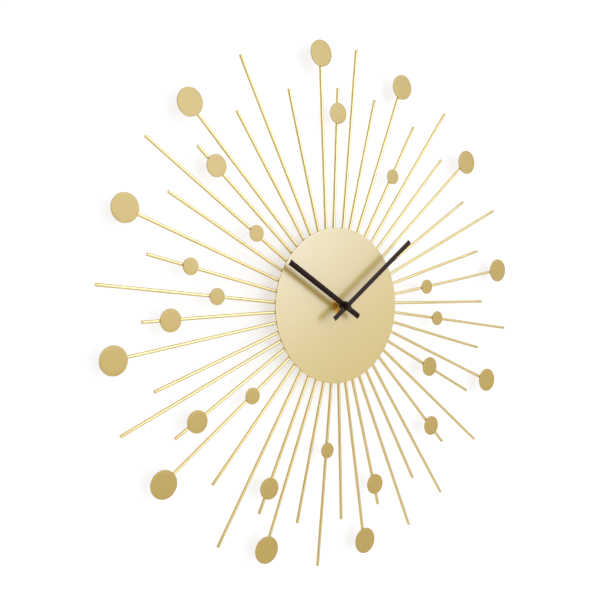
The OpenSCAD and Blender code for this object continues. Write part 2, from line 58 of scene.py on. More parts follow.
# ---- the clock's measures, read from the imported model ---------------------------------


class Span:
    """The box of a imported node: sides in x and z, and heights off the wall towards the room."""

    def __init__(self, node):
        low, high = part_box(node)
        self.x = ((low.x + high.x) / 2, (high.x - low.x) / 2)
        self.z = ((low.z + high.z) / 2, (high.z - low.z) / 2)
        self.back, self.front = -high.y, -low.y
        self.radius = self.x[1]
        self.at = (self.x[0], self.z[0])


face = Span("face_plate")
ring = Span("weld_ring")
bush = Span("threaded_bush")
rubber = Span("rubber_washer")
washer = Span("brass_washer")
nut = Span("fixing_nut")
hand_bush = Span("hour_hand_bush")
cap = Span("cap_nut")
case = Span("case_front")
knob = Span("setting_knob")
cell = Span("battery_cell")

BUSH_HOLE_R = 4.1 * MM
THREAD_R = 4.0 * MM
TUBE_HOLE_R = 2.54 * MM
NUT_BORE_R = 4.02 * MM
RING_HOLE_R = 50 * MM
SHEET = 0.4 * MM


# ---- laying surfaces -------------------------------------------------------------------


def grid_faces(rows, columns, wrap_rows=False, wrap_columns=False):
    """Four-cornered faces between neighbours of a rows by columns grid of points. A wrapped
    side joins its last line of points back to its first."""
    r = np.arange(rows if wrap_rows else rows - 1)[:, None]
    c = np.arange(columns if wrap_columns else columns - 1)[None, :]
    below, right = (r + 1) % rows, (c + 1) % columns
    corners = [r * columns + c, r * columns + right, below * columns + right, below * columns + c]
    return np.stack([np.broadcast_to(k, (r.size, c.size)) for k in corners], -1).reshape(-1, 4)


def upright(x, z, height):
    """Points from places on the wall and heights off it: the clock faces -Y."""
    x, z, height = np.broadcast_arrays(x, z, height)
    return np.stack([x, -height, z], -1)


def turned(profile, at=(0.0, 0.0), steps=96):
    """A turned solid. Its closed profile of (radius, height) points goes once round the axis:
    x = radius cos a, z = radius sin a, for angles a all the way round."""
    angle = np.linspace(0, TURN, steps, endpoint=False)[:, None]
    radius, height = np.asarray(profile, float).T
    points = upright(at[0] + radius * np.cos(angle), at[1] + radius * np.sin(angle), height)
    return points.reshape(-1, 3), grid_faces(steps, len(radius), True, True)


def rounded(corners, radii, steps=5):
    """A closed outline with its corners rounded. Each corner is replaced by an arc that
    touches both sides: its centre is along the bisector, at radius / sin(half the angle)."""
    corners = np.asarray(corners, float)
    out = []
    for k, (corner, radius) in enumerate(zip(corners, radii)):
        before, after = corners[k - 1] - corner, corners[(k + 1) % len(corners)] - corner
        before, after = before / np.linalg.norm(before), after / np.linalg.norm(after)
        half = math.acos(np.clip(before @ after, -1, 1)) / 2
        if radius <= 0 or half > math.radians(89):
            out.append(corner[None])
            continue
        bisector = (before + after) / np.linalg.norm(before + after)
        centre = corner + bisector * radius / math.sin(half)
        first, last = (corner + side * radius / math.tan(half) - centre for side in (before, after))
        start = math.atan2(first[1], first[0])
        sweep = (math.atan2(last[1], last[0]) - start + math.pi) % TURN - math.pi
        a = start + sweep * np.linspace(0, 1, steps)
        out.append(centre + radius * np.stack([np.cos(a), np.sin(a)], -1))
    return np.concatenate(out)


def ring_profile(inner, outer, back, front, back_edge=0.1 * MM, front_edge=0.1 * MM):
    """Closed profile of a flat ring or washer with rounded edges."""
    corners = [(inner, back), (outer, back), (outer, front), (inner, front)]
    return rounded(corners, [back_edge, back_edge, front_edge, front_edge])


def carried(path, across, up, section):
    """A closed section carried along a path: point = path + across u + up v, for each (u, v)
    of the section at each point of the path. Its two ends are closed by fans to a middle."""
    u, v = section[..., 0], section[..., 1]
    body = path[:, None] + across[:, None] * u[..., None] + up[:, None] * v[..., None]
    rows, columns = body.shape[:2]
    middles = body[[0, -1]].mean(axis=1)
    points = np.concatenate([body.reshape(-1, 3), middles])
    side = np.arange(columns)
    nearby = (side + 1) % columns
    last = (rows - 1) * columns
    caps = [
        np.stack([nearby, side, np.full(columns, rows * columns)], -1),
        np.stack([side + last, nearby + last, np.full(columns, rows * columns + 1)], -1),
    ]
    return points, grid_faces(rows, columns, False, True), np.concatenate(caps)


def gathered(shells):
    """Several shells, each (points, faces, ...), as one list of points and one of faces."""
    points, faces, start = [], [], 0
    for shell in shells:
        points.append(shell[0])
        for part in shell[1:]:
            faces.extend((part + start).tolist())
        start += len(shell[0])
    return np.concatenate(points), faces


def piece(name, shells, body, material, replaced=(), soften=35):
    """A finished piece of the clock: its shells in one mesh, doubled points joined, faces
    turned outwards, shaded smooth except over edges sharper than the given angle."""
    points, faces = gathered(shells)
    mesh = bpy.data.meshes.new(name)
    mesh.from_pydata(points, [], faces)
    work = bmesh.new()
    work.from_mesh(mesh)
    bmesh.ops.remove_doubles(work, verts=work.verts, dist=1e-7)
    bmesh.ops.recalc_face_normals(work, faces=work.faces)
    work.to_mesh(mesh)
    work.free()
    return fitted(mesh, name, body, material, replaced, soften)


def fitted(mesh, name, body, material, replaced, soften):
    """Puts a finished mesh on its body, with its material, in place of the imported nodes."""
    mesh.polygons.foreach_set("use_smooth", np.ones(len(mesh.polygons), bool))
    mesh.set_sharp_from_angle(angle=math.radians(soften))
    mesh.materials.append(material)
    made = bpy.data.objects.new(name, mesh)
    bpy.context.scene.collection.objects.link(made)
    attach(made, body)
    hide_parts(*replaced)
    return made


def solids_of(node):
    """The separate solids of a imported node, as an array of points for each. Every point
    takes the lowest label among its triangles' corners until no label changes."""
    mesh = frame["nodes"][node].data
    places = np.empty(3 * len(mesh.vertices), np.float32)
    mesh.vertices.foreach_get("co", places)
    corners = np.empty(len(mesh.loops), np.int32)
    mesh.loops.foreach_get("vertex_index", corners)
    places, same = np.unique(places.reshape(-1, 3).round(6), axis=0, return_inverse=True)
    triangles = same.ravel()[corners].reshape(-1, 3)
    label = np.arange(len(places))
    while True:
        spread = label.copy()
        np.minimum.at(spread, triangles, label[triangles].min(axis=1)[:, None])
        if (spread == label).all():
            return [places[label == k].astype(float) for k in np.unique(label)]
        label = spread


# ---- finishes --------------------------------------------------------------------------


def socket(group, kind, name, value=None, out=False):
    made = group.interface.new_socket(
        name=name, in_out="OUTPUT" if out else "INPUT", socket_type="NodeSocket" + kind
    )
    if value is not None:
        made.default_value = value


def joined(tree, *pairs):
    for source, target in pairs:
        tree.links.new(source, target)


def scaled(tree, factor, low, high):
    """Factor 0 to 1 spread over low to high."""
    node = tree.nodes.new("ShaderNodeMapRange")
    node.inputs["To Min"].default_value = low
    node.inputs["To Max"].default_value = high
    joined(tree, (factor, node.inputs["Value"]))
    return node.outputs["Result"]


def noise(tree, vector, scale, detail=3.0, roughness=0.55):
    node = tree.nodes.new("ShaderNodeTexNoise")
    node.inputs["Detail"].default_value = detail
    node.inputs["Roughness"].default_value = roughness
    joined(tree, (vector, node.inputs["Vector"]))
    if isinstance(scale, (int, float)):
        node.inputs["Scale"].default_value = scale
    else:
        joined(tree, (scale, node.inputs["Scale"]))
    return node.outputs["Fac"]


def math_node(tree, operation, a, b):
    node = tree.nodes.new("ShaderNodeMath")
    node.operation = operation
    for value, target in ((a, node.inputs[0]), (b, node.inputs[1])):
        if isinstance(value, (int, float)):
            target.default_value = value
        else:
            joined(tree, (value, target))
    return node.outputs[0]


def mixed(tree, factor, a, b, blend="MIX"):
    """Colour a turning into colour b as the factor goes from 0 to 1."""
    node = tree.nodes.new("ShaderNodeMix")
    node.data_type = "RGBA"
    node.blend_type = blend
    for value, target in ((factor, node.inputs[0]), (a, node.inputs[6]), (b, node.inputs[7])):
        if isinstance(value, (int, float)):
            target.default_value = value
        elif isinstance(value, tuple):
            target.default_value = (*value, 1.0)
        else:
            joined(tree, (value, target))
    return node.outputs[2]


def new_group(name, *sockets):
    group = bpy.data.node_groups.new(name, "ShaderNodeTree")
    for kind, label, value, out in sockets:
        socket(group, kind, label, value, out)
    coordinates = group.nodes.new("ShaderNodeTexCoord").outputs["Object"]
    return group, group.nodes.new("NodeGroupInput"), group.nodes.new("NodeGroupOutput"), coordinates


def lacquer_skin_group():
    """Sprayed lacquer: fine orange peel, metal flake under it and slow drifts of tone."""
    group, given, out, place = new_group(
        "lacquer_skin",
        ("Float", "Peel Scale", 900.0, False),
        ("Float", "Flake Scale", 5200.0, False),
        ("Float", "Flake", 0.5, False),
        ("Float", "Height", None, True),
        ("Float", "Tone", None, True),
        ("Float", "Sheen", None, True),
    )
    peel = noise(group, place, given.outputs["Peel Scale"], 2.0, 0.45)
    flakes = group.nodes.new("ShaderNodeTexVoronoi")
    flakes.feature = "F1"
    joined(
        group,
        (place, flakes.inputs["Vector"]),
        (given.outputs["Flake Scale"], flakes.inputs["Scale"]),
    )
    flake = group.nodes.new("ShaderNodeSeparateColor")
    joined(group, (flakes.outputs["Color"], flake.inputs[0]))
    drift = noise(group, place, 18.0, 2.0, 0.5)
    glint = math_node(group, "MULTIPLY", flake.outputs[0], given.outputs["Flake"])
    lift, tint = (math_node(group, "MULTIPLY", glint, share) for share in (0.15, 0.5))
    joined(
        group,
        (math_node(group, "ADD", peel, lift), out.inputs["Height"]),
        (math_node(group, "ADD", tint, scaled(group, drift, 0.2, 0.8)), out.inputs["Tone"]),
        (scaled(group, noise(group, place, 60.0, 3.0, 0.6), 0.0, 1.0), out.inputs["Sheen"]),
    )
    return group


def moulded_skin_group():
    """Spark-eroded mould texture: two sizes of rounded grain, and a slow drift of gloss."""
    group, given, out, place = new_group(
        "moulded_skin",
        ("Float", "Scale", 2600.0, False),
        ("Float", "Height", None, True),
        ("Float", "Tone", None, True),
    )
    fine = noise(group, place, given.outputs["Scale"], 3.0, 0.6)
    coarse = math_node(group, "MULTIPLY", noise(group, place, 240.0, 2.0, 0.5), 0.6)
    joined(
        group,
        (math_node(group, "ADD", fine, coarse), out.inputs["Height"]),
        (noise(group, place, 45.0, 3.0, 0.55), out.inputs["Tone"]),
    )
    return group


def tool_marks_group():
    """Marks of a lathe or a roller: noise stretched into circles round the hands' axis, or
    into straight lines, with a slow tarnish beside them."""
    group, given, out, place = new_group(
        "tool_marks",
        ("Float", "Rings", 1.0, False),
        ("Float", "Scale", 9000.0, False),
        ("Float", "Height", None, True),
        ("Float", "Tarnish", None, True),
    )
    axes = group.nodes.new("ShaderNodeSeparateXYZ")
    joined(group, (place, axes.inputs[0]))
    square = [math_node(group, "MULTIPLY", axes.outputs[k], axes.outputs[k]) for k in ("X", "Z")]
    radius = math_node(group, "SQRT", math_node(group, "ADD", *square), 0.0)
    rings = group.nodes.new("ShaderNodeCombineXYZ")
    lines = group.nodes.new("ShaderNodeCombineXYZ")
    joined(
        group,
        (radius, rings.inputs[0]),
        (math_node(group, "MULTIPLY", axes.outputs["Y"], 0.6), rings.inputs[1]),
        (axes.outputs["Z"], lines.inputs[0]),
        (math_node(group, "MULTIPLY", axes.outputs["X"], 0.02), lines.inputs[1]),
        (math_node(group, "MULTIPLY", axes.outputs["Y"], 0.5), lines.inputs[2]),
    )
    both = group.nodes.new("ShaderNodeMix")
    both.data_type = "VECTOR"
    joined(
        group,
        (given.outputs["Rings"], both.inputs[0]),
        (lines.outputs[0], both.inputs[4]),
        (rings.outputs[0], both.inputs[5]),
    )
    joined(
        group,
        (noise(group, both.outputs[1], given.outputs["Scale"], 2.0, 0.6), out.inputs["Height"]),
        (noise(group, place, 160.0, 4.0, 0.6), out.inputs["Tarnish"]),
    )
    return group


def dust_group():
    """Dust that settles where a surface looks up: the normal's rise times a soft noise."""
    group, given, out, place = new_group(
        "settled_dust",
        ("Float", "Amount", 0.25, False),
        ("Float", "Mask", None, True),
    )
    facing = group.nodes.new("ShaderNodeNewGeometry")
    axes = group.nodes.new("ShaderNodeSeparateXYZ")
    joined(group, (facing.outputs["Normal"], axes.inputs[0]))
    rise = group.nodes.new("ShaderNodeMapRange")
    rise.inputs["From Min"].default_value = 0.35
    joined(group, (axes.outputs["Z"], rise.inputs["Value"]))
    specks = scaled(group, noise(group, place, 420.0, 5.0, 0.7), 0.3, 1.2)
    settled = math_node(group, "MULTIPLY", rise.outputs["Result"], specks)
    mask = math_node(group, "MULTIPLY", settled, given.outputs["Amount"])
    joined(group, (mask, out.inputs["Mask"]))
    return group


lacquer_skin = lacquer_skin_group()
moulded_skin = moulded_skin_group()
tool_marks = tool_marks_group()
settled_dust = dust_group()

DUST = (0.55, 0.53, 0.5)


def finish(name, metallic=0.0, roughness=0.5, coat=0.0, coat_roughness=0.1, **sockets):
    """A new material and its shader, with the values that are the same all over set on the
    shader's own sockets."""
    material = bpy.data.materials.new(name)
    material.use_nodes = True
    tree = material.node_tree
    shader = tree.nodes["Principled BSDF"]
    values = {
        "Metallic": metallic,
        "Roughness": roughness,
        "Coat Weight": coat,
        "Coat Roughness": coat_roughness,
        **sockets,
    }
    for label, value in values.items():
        shader.inputs[label].default_value = value
    return material, tree, shader


def placed_group(tree, group, **values):
    node = tree.nodes.new("ShaderNodeGroup")
    node.node_tree = group
    for label, value in values.items():
        node.inputs[label.replace("_", " ")].default_value = value
    return node.outputs


def roughened(tree, mask, shader, roughness, less, more):
    """Roughness that follows a mask, from a little less than the given value to a little more."""
    spread = scaled(tree, mask, roughness - less, roughness + more)
    joined(tree, (spread, shader.inputs["Roughness"]))


def raised(tree, height, shader, strength, distance):
    bump = tree.nodes.new("ShaderNodeBump")
    bump.inputs["Strength"].default_value = strength
    bump.inputs["Distance"].default_value = distance
    joined(tree, (height, bump.inputs["Height"]), (bump.outputs[0], shader.inputs["Normal"]))


def lacquer(name, pale, deep, roughness, metallic=1.0, flake=0.5, peel=0.3, dust=0.12, **values):
    """Gold lacquer between a pale and a deep tone, with flake, orange peel and a little dust."""
    material, tree, shader = finish(name, metallic=metallic, **values)
    skin = placed_group(tree, lacquer_skin, Flake=flake)
    dusty = placed_group(tree, settled_dust, Amount=dust)["Mask"]
    colour = mixed(tree, skin["Tone"], deep, pale)
    joined(tree, (mixed(tree, dusty, colour, DUST), shader.inputs["Base Color"]))
    roughened(tree, skin["Sheen"], shader, roughness, 0.04, 0.04)
    raised(tree, skin["Height"], shader, peel, 0.02 * MM)
    return material


def moulding(name, light, dark, roughness, grain=0.5, scale=2600.0, dust=0.2, **values):
    """Moulded plastic with its mould's texture and some dust on what looks up."""
    material, tree, shader = finish(name, **values)
    skin = placed_group(tree, moulded_skin, Scale=scale)
    dusty = placed_group(tree, settled_dust, Amount=dust)["Mask"]
    colour = mixed(tree, skin["Tone"], dark, light)
    joined(tree, (mixed(tree, dusty, colour, DUST), shader.inputs["Base Color"]))
    roughened(tree, skin["Tone"], shader, roughness, 0.06, 0.06)
    raised(tree, skin["Height"], shader, grain, 0.03 * MM)
    return material


def bare_metal(name, bright, dull, roughness, rings=1.0, scale=9000.0, marks=0.35, **values):
    """Turned or rolled metal with its tool marks and a slow tarnish."""
    material, tree, shader = finish(name, metallic=1.0, **values)
    skin = placed_group(tree, tool_marks, Rings=rings, Scale=scale)
    joined(tree, (mixed(tree, skin["Tarnish"], bright, dull), shader.inputs["Base Color"]))
    roughened(tree, skin["Tarnish"], shader, roughness, 0.07, 0.1)
    raised(tree, skin["Height"], shader, marks, 0.01 * MM)
    return material


champagne_lacquer = lacquer(
    "champagne_lacquer", (0.468, 0.312, 0.042), (0.43, 0.28, 0.025), 0.42, metallic=0.1, flake=0.3,
    peel=0.12, coat=0.9, coat_roughness=0.3, **{"Coat IOR": 2.0},
)
ray_gold = lacquer(
    "ray_gold", (0.68, 0.53, 0.25), (0.56, 0.41, 0.14), 0.3, metallic=0.85, flake=0.15,
    peel=0.12, IOR=1.8,
)
disc_gold = lacquer(
    "disc_gold", (0.41, 0.268, 0.05), (0.365, 0.228, 0.034), 0.44, metallic=0.25, flake=0.3,
    peel=0.15, coat=0.4, coat_roughness=0.36,
)
hand_lacquer = lacquer(
    "hand_lacquer", (0.012, 0.005, 0.004), (0.008, 0.003, 0.002), 0.22, metallic=0.0, flake=0.1,
    peel=0.1, dust=0.0, **{"Specular IOR Level": 0.16, "Specular Tint": (1.0, 0.62, 0.45, 1.0)},
)
turned_brass = bare_metal("turned_brass", (0.76, 0.46, 0.1), (0.6, 0.32, 0.055), 0.28)
zinc_plate = bare_metal(
    "zinc_plate", (0.66, 0.66, 0.63), (0.5, 0.5, 0.48), 0.36, rings=0.0, scale=3000.0,
)
bare_steel = bare_metal("bare_steel", (0.56, 0.57, 0.58), (0.4, 0.4, 0.42), 0.32, rings=0.0)
case_plastic = moulding("case_plastic", (0.035, 0.035, 0.038), (0.022, 0.022, 0.024), 0.55)
knob_plastic = moulding("knob_plastic", (0.15, 0.15, 0.155), (0.1, 0.1, 0.105), 0.48)
white_acetal = moulding("white_acetal", (0.84, 0.83, 0.78), (0.76, 0.75, 0.7), 0.42, 0.2, dust=0.0)
amber_acetal = moulding("amber_acetal", (0.76, 0.46, 0.15), (0.66, 0.38, 0.1), 0.4, 0.2, dust=0.0)
soft_rubber = moulding("soft_rubber", (0.03, 0.03, 0.03), (0.018, 0.018, 0.018), 0.7, 0.4, dust=0.3)
circuit_laminate = moulding(
    "circuit_laminate", (0.03, 0.17, 0.07), (0.015, 0.1, 0.04), 0.32, 0.3, scale=900.0, dust=0.0,
)
chip_resin = moulding(
    "chip_resin", (0.02, 0.02, 0.02), (0.01, 0.01, 0.01), 0.2, 0.2, scale=500.0, dust=0.0,
)
winding_copper = bare_metal("winding_copper", (0.72, 0.32, 0.14), (0.55, 0.2, 0.08), 0.3)
cell_sleeve = moulding(
    "cell_sleeve", (0.06, 0.17, 0.36), (0.045, 0.13, 0.3), 0.25, 0.15, scale=1200.0, dust=0.1,
)
magnet_grey = bare_metal("magnet_grey", (0.2, 0.2, 0.21), (0.12, 0.12, 0.13), 0.5, rings=0.0)

FINISHES = {
    "face_gold": champagne_lacquer,
    "rod_gold": ray_gold,
    "disc_gold": disc_gold,
    "hand_black": hand_lacquer,
    "brass": turned_brass,
    "plated_steel": zinc_plate,
    "bright_steel": bare_steel,
    "case_black": case_plastic,
    "knob_grey": knob_plastic,
    "train_white": white_acetal,
    "train_amber": amber_acetal,
    "rubber": soft_rubber,
    "board_green": circuit_laminate,
    "chip_black": chip_resin,
    "copper": winding_copper,
    "battery_jacket": cell_sleeve,
    "magnet_grey": magnet_grey,
}

for row in frame["record"]["subparts"]:
    packed = frame["nodes"][row["node"]]
    packed.data.materials.clear()
    packed.data.materials.append(FINISHES[row["material_slot"]])


# ---- sunburst --------------------------------------------------------------------------


def ray(solid):
    """One ray: a round wire along the solid's longest direction. Its radius is constant but
    for the sheared ends, where it draws in along a quarter circle, and it bows by a fraction
    of a millimetre: side = bow sin(pi t)."""
    middle = solid.mean(axis=0)
    along = np.linalg.svd(solid - middle)[2][0]
    reach = (solid - middle) @ along
    off = solid - middle - reach[:, None] * along
    radius = np.linalg.norm(off, axis=1).max()
    edge = 0.35 * MM
    corner = np.linspace(0, math.pi / 2, 4)
    inset = edge * (1 - np.sin(corner))
    run = np.linspace(reach.min() + edge, reach.max() - edge, 14)[1:-1]
    stops = np.concatenate([reach.min() + edge * (1 - np.cos(corner)), run,
                            reach.max() - edge * (1 - np.cos(corner[::-1]))])
    draw = np.concatenate([inset, np.zeros(len(run)), inset[::-1]])
    front = np.array([0.0, -1.0, 0.0])
    side = np.cross(along, front)
    share = (stops - stops[0]) / (stops[-1] - stops[0])
    bow = chance.uniform(-0.3, 0.3) * MM * np.sin(math.pi * share)
    path = middle + along * stops[:, None] + side * bow[:, None]
    angle = np.linspace(0, TURN, 18, endpoint=False)
    section = (radius - draw)[:, None, None] * np.stack([np.cos(angle), np.sin(angle)], -1)
    across = np.broadcast_to(side, path.shape)
    up = np.broadcast_to(front, path.shape)
    return carried(path, across, up, section)


def blob(centre, along, side, size, lumps=0.12):
    """A weld bead: an ellipsoid along two directions and the wall's normal, its surface
    pushed in and out by low waves of both angles."""
    a = np.linspace(0, TURN, 14, endpoint=False)[:, None]
    b = np.linspace(0, math.pi, 8)[None, :]
    phase = chance.uniform(0, TURN, 2)
    level = np.sin(b)
    waves = level * np.sin(2 * a + phase[0]) + np.sin(3 * a + phase[1]) * level**2
    swell = level * (1 + lumps * waves)
    spot = [size[0] * np.cos(a) * swell, size[1] * np.sin(a) * swell, size[2] * np.cos(b) + 0 * a]
    normal = np.array([0.0, 1.0, 0.0])
    points = centre + sum(s[..., None] * d for s, d in zip(spot, (along, side, normal)))
    return points.reshape(-1, 3), grid_faces(14, 8, True, False)


rays = {name: [ray(s) for s in solids_of(name)] for name in ("long_rods", "short_rods")}
for name, shells in rays.items():
    piece(name.replace("rods", "rays"), shells, "frame", ray_gold, [name])


def ring_welds():
    """Beads on both sides of each ray, where it crosses the outer edge of the flat ring."""
    beads = []
    for solid in solids_of("long_rods") + solids_of("short_rods"):
        middle = solid.mean(axis=0)
        along = np.linalg.svd(solid - middle)[2][0]
        along *= np.sign(along @ middle)
        side = np.cross(along, (0.0, 1.0, 0.0))
        root = middle + along * ((solid - middle) @ along).min()
        miss = (root - along * (root @ along))[[0, 2]]
        reach = math.sqrt(max(ring.radius**2 - miss @ miss, 0))
        crossing = root + along * (reach - root @ along)
        crossing[1] = -ring.front
        for way in (-1, 1):
            size = np.array([1.9, 1.0, 0.8]) * MM * chance.uniform(0.8, 1.2, 3)
            beads.append(blob(crossing + side * way * 1.3 * MM, along, side, size))
    return beads


piece("ring_welds", ring_welds(), "frame", ray_gold, soften=80)
flat = ring_profile(RING_HOLE_R, ring.radius, ring.back, ring.front, 0.2 * MM, 0.2 * MM)
piece("flat_ring", [turned(flat, steps=160)], "frame", ray_gold, ["weld_ring"])


def blanked_disc(at, radius, back, front, roll, tilt=(0.0, 0.0)):
    """A disc blanked from sheet: flat, with its front edge rolled over by the die and a
    sharper back edge, tipped by small angles about its own centre."""
    corners = [(0, back), (radius, back), (radius, front), (0, front)]
    edge = rounded(corners, [0, 0.08 * MM, roll, 0], 6)
    rings = np.linspace(0, radius - 1.2 * roll, 5)[:-1]
    inner = np.stack([rings, np.full(4, front)], -1)[::-1]
    profile = np.concatenate([edge[:-1], inner])
    points, faces = turned(profile, at, 64)
    x, z = points[:, 0] - at[0], points[:, 2] - at[1]
    points[:, 1] += x * tilt[0] + z * tilt[1]
    return points, faces


def discs_on(node):
    """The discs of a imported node, each tipped a little as it was welded."""
    shells = []
    for solid in solids_of(node):
        low, high = solid.min(axis=0), solid.max(axis=0)
        at, radius = ((low + high) / 2)[[0, 2]], (high - low)[0] / 2
        tilt = chance.uniform(-0.012, 0.012, 2)
        shells.append(blanked_disc(at, radius, -high[1], -low[1], 0.25 * MM, tilt))
    return shells


for size in ("large", "medium", "small"):
    packed = size + "_discs"
    piece(size + "_sunburst_discs", discs_on(packed), "frame", disc_gold, [packed])


def face_profile():
    """The face: flat sheet with a centre hole and a softly rolled front edge."""
    hole, rim, arc = BUSH_HOLE_R, face.radius, 7
    corners = [(hole, face.back), (rim, face.back), (rim, face.front), (hole, face.front)]
    outline = rounded(corners, [0.1 * MM, 0.1 * MM, 0.35 * MM, 0.1 * MM], arc)
    rings = np.linspace(hole + 1 * MM, rim - 1 * MM, 12)[::-1]
    flat = np.stack([rings, np.full(12, face.front)], -1)
    return np.concatenate([outline[:-arc], flat, outline[-arc:]])


piece(
    "face_disc", [turned(face_profile(), steps=240)], "frame", champagne_lacquer,
    ["face_plate"],
)


# ---- hands -----------------------------------------------------------------------------


def folded_hand(node, heading, hub_r, hole_r, hub_t):
    """A hand pressed from sheet: a bar folded along its middle, whose fold runs out flat into
    a round hub. Height over the width w is rise (1 - |u| / w) rounded at the ridge, as
    sqrt(u^2 + ridge^2), and rise itself grows from 0 at the hub along a smooth step."""
    span = Span(node)
    flat = np.concatenate(solids_of(node))[:, [0, 2]]
    way = np.array([math.cos(heading), math.sin(heading)])
    along, across = flat @ way, flat @ np.array([-way[1], way[0]])
    far = np.abs(along) > hub_r + 1 * MM
    tip, tail, half = along.max(), along.min(), np.abs(across[far]).max()
    rise = span.front - span.back - SHEET
    ends, drawn = np.array([0, 0.06, 0.2]) * MM, np.array([0.14, 0.05, 0]) * MM
    run = np.linspace(tail + 1 * MM, tip - 1 * MM, 90)
    stops = np.concatenate([tail + ends, run, tip - ends[::-1]])
    draw = np.interp(np.minimum(stops - tail, tip - stops), ends, drawn)
    grow = np.clip((np.abs(stops) - 0.8 * hub_r) / (1.1 * hub_r), 0, 1)
    lift = 0.12 * rise + 0.88 * rise * grow * grow * (3 - 2 * grow)
    u = np.linspace(-1, 1, 21)
    ridge = 0.12
    fold = 1 - (np.sqrt(u * u + ridge**2) - ridge) / (math.sqrt(1 + ridge**2) - ridge)
    edge_u, edge_v = np.array([[1.0, 0.2], [1.012, 0.5], [1.0, 0.8]]).T
    width, lift, thin = (half - draw)[:, None], lift[:, None], draw[:, None] * 0.3

    def strip(share, level):
        """One side of the section at every stop: its share of the width and its height."""
        return np.stack(np.broadcast_arrays(width * share, level), -1)

    section = np.concatenate([
        strip(u, lift * fold + SHEET - thin),
        strip(edge_u[::-1], SHEET * edge_v[::-1]),
        strip(u[::-1], lift * fold[::-1] + thin),
        strip(-edge_u, SHEET * edge_v),
    ], axis=1)
    path = upright(stops * way[0], stops * way[1], span.back)
    side = np.broadcast_to(upright(-way[1], way[0], 0.0), path.shape)
    out = np.broadcast_to(np.array([0.0, -1.0, 0.0]), path.shape)
    bar = carried(path, side, out, section)
    rim = ring_profile(hole_r, hub_r, span.back, span.back + hub_t, 0.08 * MM, 0.15 * MM)
    return [bar, turned(rim, steps=72)]


def direction_of(node):
    """Where a hand points: the direction of its point furthest from the axis."""
    flat = np.concatenate(solids_of(node))[:, [0, 2]]
    reach = np.linalg.norm(flat, axis=1)
    tips = flat[reach > reach.max() - 0.4 * MM].mean(axis=0)
    return math.atan2(tips[1], tips[0])


for hand, arbor, hub in (("hour_hand", "hour_arbor", (4.6 * MM, 3.31 * MM, 0.75 * MM)),
                         ("minute_hand", "minute_arbor", (3.4 * MM, 1.71 * MM, 0.6 * MM))):
    shells = folded_hand(hand, direction_of(hand), *hub)
    piece(hand + "_bar", shells, arbor, hand_lacquer, [hand])


def cap_profile():
    """The cap nut: a waisted skirt, a narrow groove and an elliptical dome."""
    base, top, r = cap.back, cap.front, cap.radius
    skirt = base + 1.0 * MM
    a = np.linspace(0, math.pi / 2, 18)
    dome = np.stack([(r - 0.1 * MM) * np.cos(a), skirt + (top - skirt) * np.sin(a)], -1)
    wall = [(0, base), (r - 0.2 * MM, base), (r, base + 0.15 * MM), (r, skirt - 0.25 * MM),
            (r - 0.25 * MM, skirt - 0.12 * MM)]
    return np.concatenate([wall, dome])


piece(
    "domed_cap_nut", [turned(cap_profile(), steps=72)], "minute_arbor", hand_lacquer,
    ["cap_nut"],
)


# ---- brass on the hands' axis ----------------------------------------------------------


def screw_thread(radius, inner, back, front, pitch=0.75 * MM, depth=0.3 * MM):
    """A threaded tube: radius = outer - depth w, where w is a triangle wave of height / pitch
    minus angle / turn, which is what makes the ridges climb as they go round."""
    angle = np.linspace(0, TURN, 72, endpoint=False)[:, None]
    height = np.linspace(back, front, 121)[None, :]
    wave = np.abs(((height - back) / pitch - angle / TURN) % 1 * 2 - 1)
    ease = np.clip(np.minimum(height - back, front - height) / (0.5 * MM), 0, 1)
    outer = radius - depth * (1 - ease) - depth * wave * ease
    r = np.concatenate([np.full_like(angle, inner), outer, np.full_like(angle, inner)], axis=1)
    h = np.concatenate([[[back]], height, [[front]]], axis=1)
    points = upright(r * np.cos(angle), r * np.sin(angle), np.broadcast_to(h, r.shape))
    return points.reshape(-1, 3), grid_faces(72, r.shape[1], True, True)


def hex_nut(across, bore, back, front):
    """A nut: six flats with radius across / (2 cos(angle to the flat's middle)), cut back at
    both ends by the turned chamfer's cone where the cone is narrower."""
    angle = np.linspace(0, TURN, 96, endpoint=False)[:, None]
    flat = (angle + math.pi / 6) % (math.pi / 3) - math.pi / 6
    six = across / 2 / np.cos(flat)
    chamfer = np.linspace(0, 0.6 * MM, 7)
    height = np.concatenate([back + chamfer, front - chamfer[::-1]])
    near = np.minimum(height - back, front - height)[None, :]
    outer = np.minimum(six, across / 2 + 0.02 * MM + near * 1.7)
    bore_edge = 0.25 * MM
    inner_h = np.array([front, front - bore_edge, back + bore_edge, back])[None]
    inner_r = np.broadcast_to(bore + np.array([bore_edge, 0, 0, bore_edge])[None], (96, 4))
    r = np.concatenate([outer, inner_r], axis=1)
    h = np.concatenate([height[None], inner_h], axis=1)
    points = upright(r * np.cos(angle), r * np.sin(angle), np.broadcast_to(h, r.shape))
    return points.reshape(-1, 3), grid_faces(96, r.shape[1], True, True)


bush_shells = [
    turned(ring_profile(TUBE_HOLE_R, bush.radius, bush.back, case.front, 0.2 * MM, 0.1 * MM)),
    screw_thread(THREAD_R, TUBE_HOLE_R, case.front, bush.front),
]
pad = ring_profile(BUSH_HOLE_R, rubber.radius, rubber.back, rubber.front, 0.2 * MM, 0.2 * MM)
flat_washer = ring_profile(BUSH_HOLE_R, washer.radius, washer.back, washer.front)
hexagon = hex_nut(2 * min(nut.x[1], nut.z[1]), NUT_BORE_R, nut.back, nut.front)
for name, shells, slot, material, packed in (
    ("threaded_brass_bush", bush_shells, "brass", turned_brass, "threaded_bush"),
    ("rubber_pad", [turned(pad)], "rubber", soft_rubber, "rubber_washer"),
    ("brass_face_washer", [turned(flat_washer)], "brass", turned_brass, "brass_washer"),
    ("brass_hex_nut", [hexagon], "brass", turned_brass, "fixing_nut"),
):
    piece(name, shells, "frame", material, [packed])


